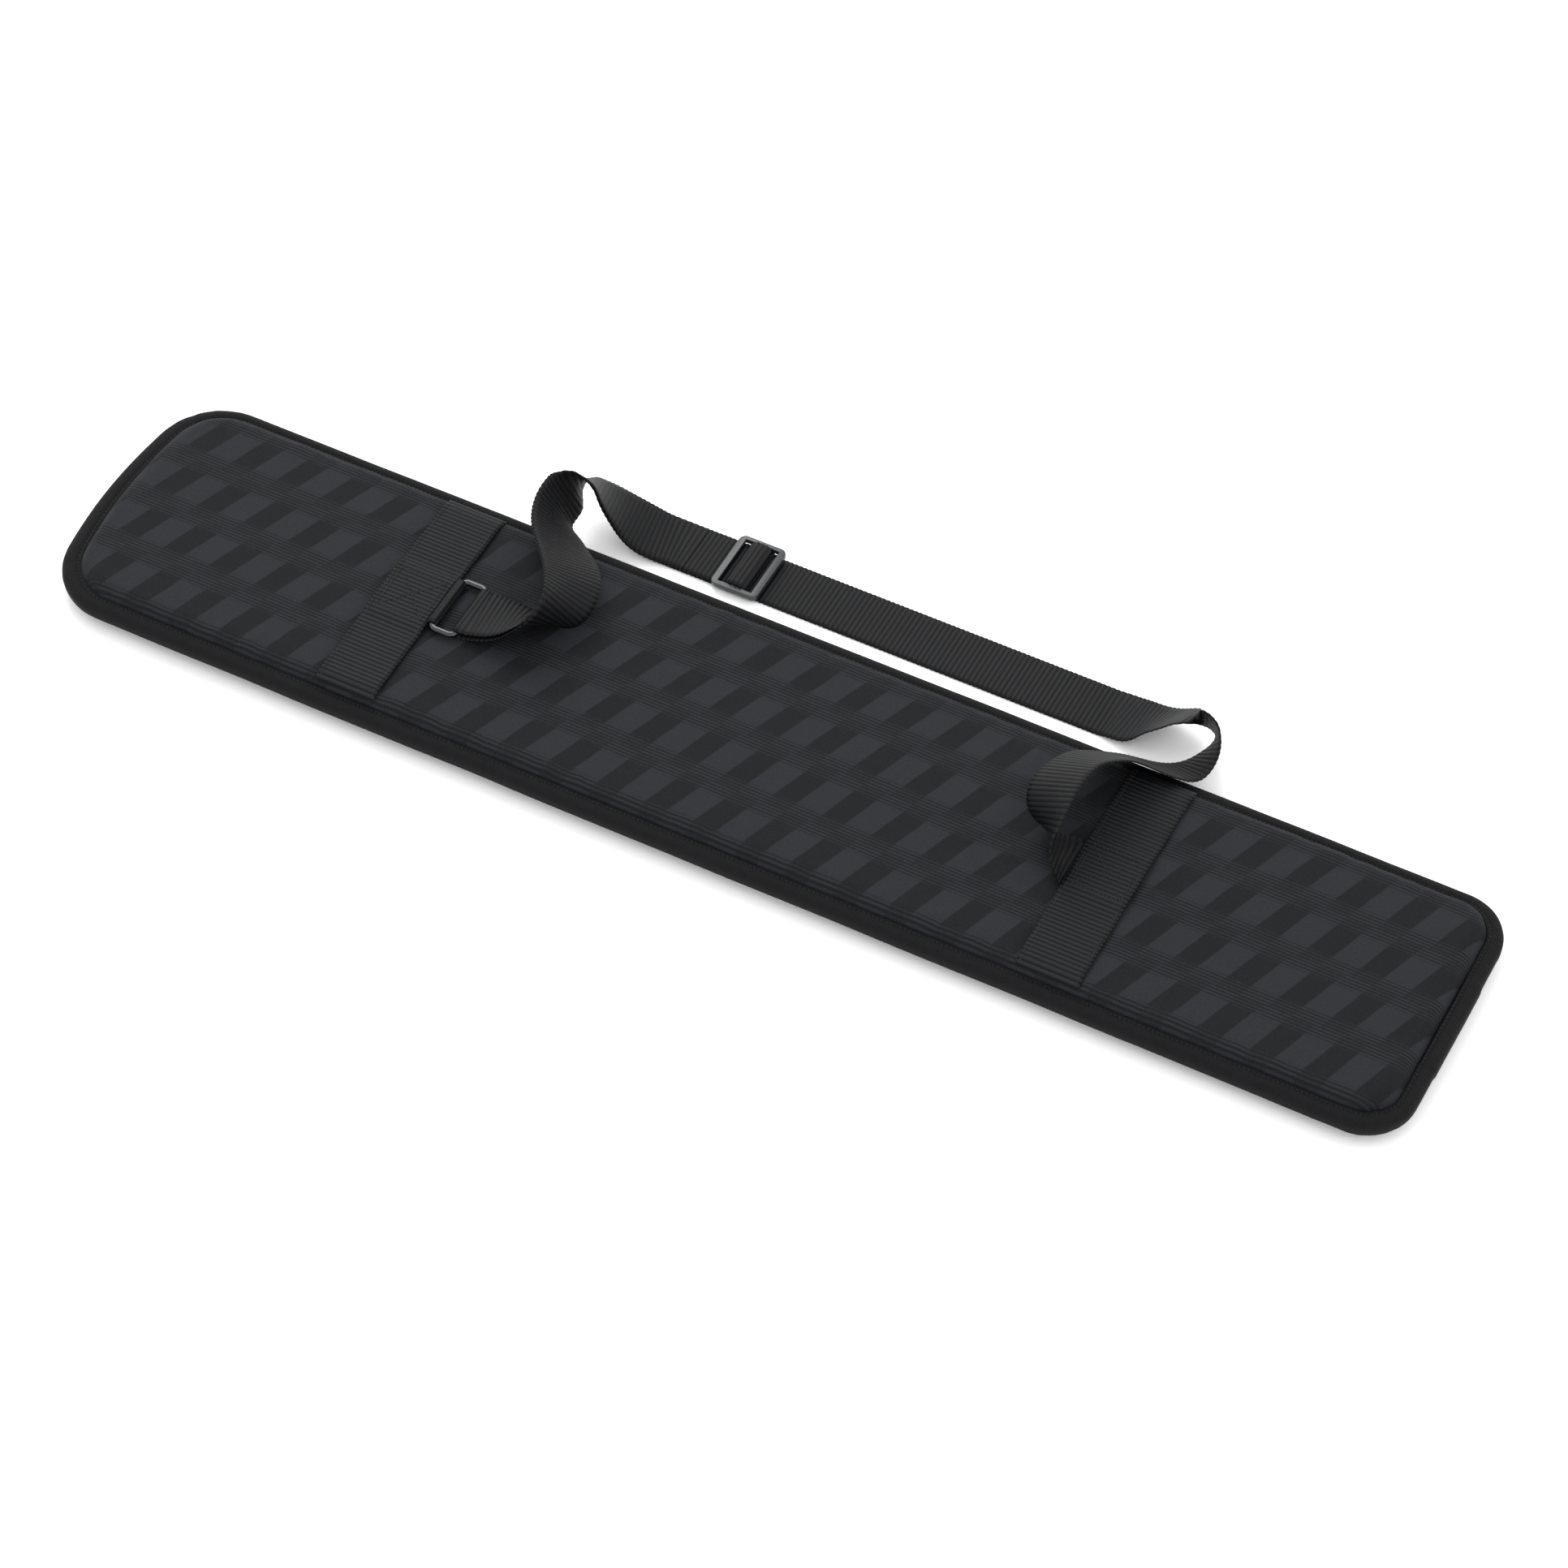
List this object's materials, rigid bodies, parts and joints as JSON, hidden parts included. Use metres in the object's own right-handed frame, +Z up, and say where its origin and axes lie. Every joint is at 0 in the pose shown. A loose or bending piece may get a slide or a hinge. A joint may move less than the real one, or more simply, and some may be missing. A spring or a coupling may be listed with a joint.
{
  "type": "telescope carry case",
  "caption": "Long flat padded soft case for a telescope tube, with bound edges, webbing bands, a shoulder strap with ring and slide adjuster, and a zip opening.",
  "frame": {"origin": "middle of the flat underside, on the surface that the case lies on", "axes": "+X along the case towards the end where the strap is sewn in, +Y towards the long edge beside which the strap lies, +Z up"},
  "size_m": [0.9119, 0.2486, 0.0694],
  "materials": {
    "panel_cloth": "matt woven check",
    "foam": "closed-cell foam, matt",
    "lining": "plain smooth lining cloth",
    "binding": "matt twill tape",
    "band_webbing": "ribbed webbing, dull",
    "strap_webbing": "ribbed webbing, dull",
    "thread": "matt thread",
    "ring_metal": "glossy black",
    "adjuster_plastic": "satin grey",
    "zip_tape": "matt",
    "zip_coil": "satin",
    "zip_metal": "satin black"
  },
  "bodies": {
    "case": {"back_outer_fabric": "panel_cloth", "back_foam_pad": "foam", "back_lining": "lining", "front_outer_main": "panel_cloth", "front_outer_strip": "panel_cloth", "front_zip_facings": "panel_cloth", "front_foam_pad": "foam", "front_lining": "lining", "edge_binding": "binding", "band_left": "band_webbing", "band_right": "band_webbing", "box_stitch_left": "thread", "box_stitch_right": "thread", "ring_tab": "strap_webbing", "strap_outer_layer": "strap_webbing", "strap_inner_layer": "strap_webbing", "strap_sewn_loop": "strap_webbing", "strap_ground_run": "strap_webbing", "strap_sewn_end": "strap_webbing", "zip_tape_main": "zip_tape", "zip_tape_strip": "zip_tape", "zip_coil_main": "zip_coil", "zip_coil_strip": "zip_coil", "zip_end_stops": "zip_metal"},
    "ring": {"rectangular_ring": "ring_metal", "strap_ring_eye": "strap_webbing"},
    "adjuster": {"adjuster_frame": "adjuster_plastic", "strap_bar_wrap": "strap_webbing"},
    "slider": {"zip_slider": "zip_metal"},
    "pull": {"zip_pull": "zip_metal"}
  },
  "joints": [
    {"name": "ring_hinge", "type": "hinge", "parent": "case", "child": "ring", "pos_m": [-0.2192, 0.002, 0.031], "axis": [0, -1, 0], "range_deg": [0, 75]},
    {"name": "adjuster_slide", "type": "slide", "parent": "case", "child": "adjuster", "axis": [1, 0, 0], "range_m": [0, 0.22]},
    {"name": "zip_slide", "type": "slide", "parent": "case", "child": "slider", "axis": [-1, 0, 0], "range_m": [0, 0.78]},
    {"name": "pull_hinge", "type": "hinge", "parent": "slider", "child": "pull", "pos_m": [0.396, 0.058, 0.00145], "axis": [0, -1, 0], "range_deg": [0, 150]}
  ]
}
